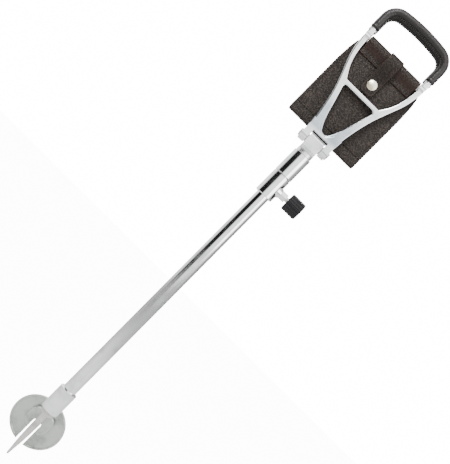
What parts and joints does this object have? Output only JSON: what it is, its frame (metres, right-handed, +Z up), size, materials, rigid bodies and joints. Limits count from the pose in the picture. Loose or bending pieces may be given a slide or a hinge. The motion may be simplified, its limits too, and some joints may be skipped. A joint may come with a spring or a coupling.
{
  "type": "folding seat stick",
  "caption": "Height-adjustable walking seat stick with two hinged wishbone handles, a leather sling seat, a clamp knob, a spike, a fold-up ground disc and a rubber ferrule.",
  "frame": {"origin": "point of the spike, on the stick's axis", "axes": "+Z up the stick along the tube, X across the handles with the clamp knob on +X, front frame on -Y"},
  "size_m": [0.1334, 0.0649, 0.967],
  "materials": {
    "chromed_steel": "bright chrome plate",
    "bright_steel": "turned steel",
    "zinc_plate": "zinc-plated pressing, slightly greenish grey",
    "cast_aluminium": "polished casting",
    "grip_leather": "smooth dark brown leather",
    "seat_leather": "pebbled dark brown leather",
    "snap_metal": "pale antique brass",
    "black_plastic": "moulded, matt",
    "black_rubber": "moulded rubber",
    "nylon": "natural nylon"
  },
  "bodies": {
    "lower_leg": {"main_tube": "chromed_steel", "clamp_collar": "chromed_steel", "clamp_bush": "chromed_steel", "foot_sleeve": "chromed_steel", "foot_plug": "bright_steel", "foot_pin": "bright_steel", "spike": "bright_steel"},
    "head": {"stem_tube": "chromed_steel", "stem_plug": "nylon", "head_sleeve": "chromed_steel", "head_pin": "bright_steel", "hinge_block": "cast_aluminium", "hinge_washers": "nylon", "front_hinge_pin": "bright_steel", "rear_hinge_pin": "bright_steel"},
    "front_frame": {"front_frame": "cast_aluminium", "front_seat_bar": "bright_steel", "front_grip": "grip_leather"},
    "rear_frame": {"rear_frame": "cast_aluminium", "rear_seat_bar": "bright_steel", "rear_grip": "grip_leather", "strap_anchor": "seat_leather"},
    "front_seat": {"front_seat": "seat_leather", "snap_stud": "snap_metal"},
    "rear_seat": {"rear_seat": "seat_leather"},
    "seat_fold": {"seat_fold": "seat_leather"},
    "strap_root": {"strap_root": "seat_leather"},
    "strap_tip": {"strap_tip": "seat_leather", "snap_cap": "snap_metal", "snap_socket": "snap_metal"},
    "clamp_screw": {"clamp_screw": "bright_steel"},
    "knob": {"knob": "black_plastic"},
    "ground_disc": {"ground_disc": "zinc_plate", "disc_saddle": "zinc_plate", "disc_hinge_pin": "bright_steel"},
    "ferrule": {"ferrule": "black_rubber", "ferrule_washer": "bright_steel"}
  },
  "joints": [
    {"name": "height_slide", "type": "slide", "parent": "lower_leg", "child": "head", "axis": [0, 0, 1], "range_m": [0, 0.1]},
    {"name": "front_frame_hinge", "type": "hinge", "parent": "head", "child": "front_frame", "pos_m": [0, -0.014, 0.653], "axis": [1, 0, 0], "range_deg": [0, 50], "deforming": ["seat_fold"]},
    {"name": "rear_frame_hinge", "type": "hinge", "parent": "head", "child": "rear_frame", "pos_m": [0, 0.014, 0.653], "axis": [-1, 0, 0], "range_deg": [0, 50]},
    {"name": "front_seat_hang", "type": "hinge", "parent": "front_frame", "child": "front_seat", "pos_m": [0, -0.014, 0.8215], "axis": [1, 0, 0], "range_deg": [0, 13]},
    {"name": "rear_seat_hang", "type": "hinge", "parent": "rear_frame", "child": "rear_seat", "pos_m": [0, 0.014, 0.8215], "axis": [-1, 0, 0], "range_deg": [0, 13]},
    {"name": "seat_fold_rise", "type": "slide", "parent": "head", "child": "seat_fold", "axis": [0, 0, 1], "range_m": [0, 0.0347]},
    {"name": "strap_lift", "type": "hinge", "parent": "rear_frame", "child": "strap_root", "pos_m": [0, 0.012, 0.8302], "axis": [-1, 0, 0], "range_deg": [0, 120], "deforming": ["strap_root", "strap_tip", "snap_cap", "snap_socket"]},
    {"name": "strap_unbend", "type": "hinge", "parent": "strap_root", "child": "strap_tip", "pos_m": [0, -0.012, 0.8302], "axis": [-1, 0, 0], "range_deg": [0, 60]},
    {"name": "screw_advance", "type": "slide", "parent": "lower_leg", "child": "clamp_screw", "axis": [1, 0, 0], "range_m": [0, 0.0025]},
    {"name": "knob_turn", "type": "hinge", "parent": "clamp_screw", "child": "knob", "pos_m": [0.045, 0, 0.565], "axis": [-1, 0, 0], "range_deg": [0, 720]},
    {"name": "disc_fold", "type": "hinge", "parent": "lower_leg", "child": "ground_disc", "pos_m": [0, 0.022, 0.0785], "axis": [-1, 0, 0], "range_deg": [0, 104]},
    {"name": "ferrule_slide", "type": "slide", "parent": "lower_leg", "child": "ferrule", "axis": [0, 0, 1], "range_m": [0, 0.069]}
  ],
  "couplings": [
    {"joint": "rear_frame_hinge", "follows": "front_frame_hinge", "ratio": 1},
    {"joint": "front_seat_hang", "follows": "front_frame_hinge", "ratio": 0.26},
    {"joint": "rear_seat_hang", "follows": "front_frame_hinge", "ratio": 0.26},
    {"joint": "seat_fold_rise", "follows": "front_frame_hinge", "m_per_rad": 0.03975},
    {"joint": "strap_unbend", "follows": "strap_lift", "ratio": 0.5},
    {"joint": "knob_turn", "follows": "screw_advance", "rad_per_m": 5026.5}
  ]
}
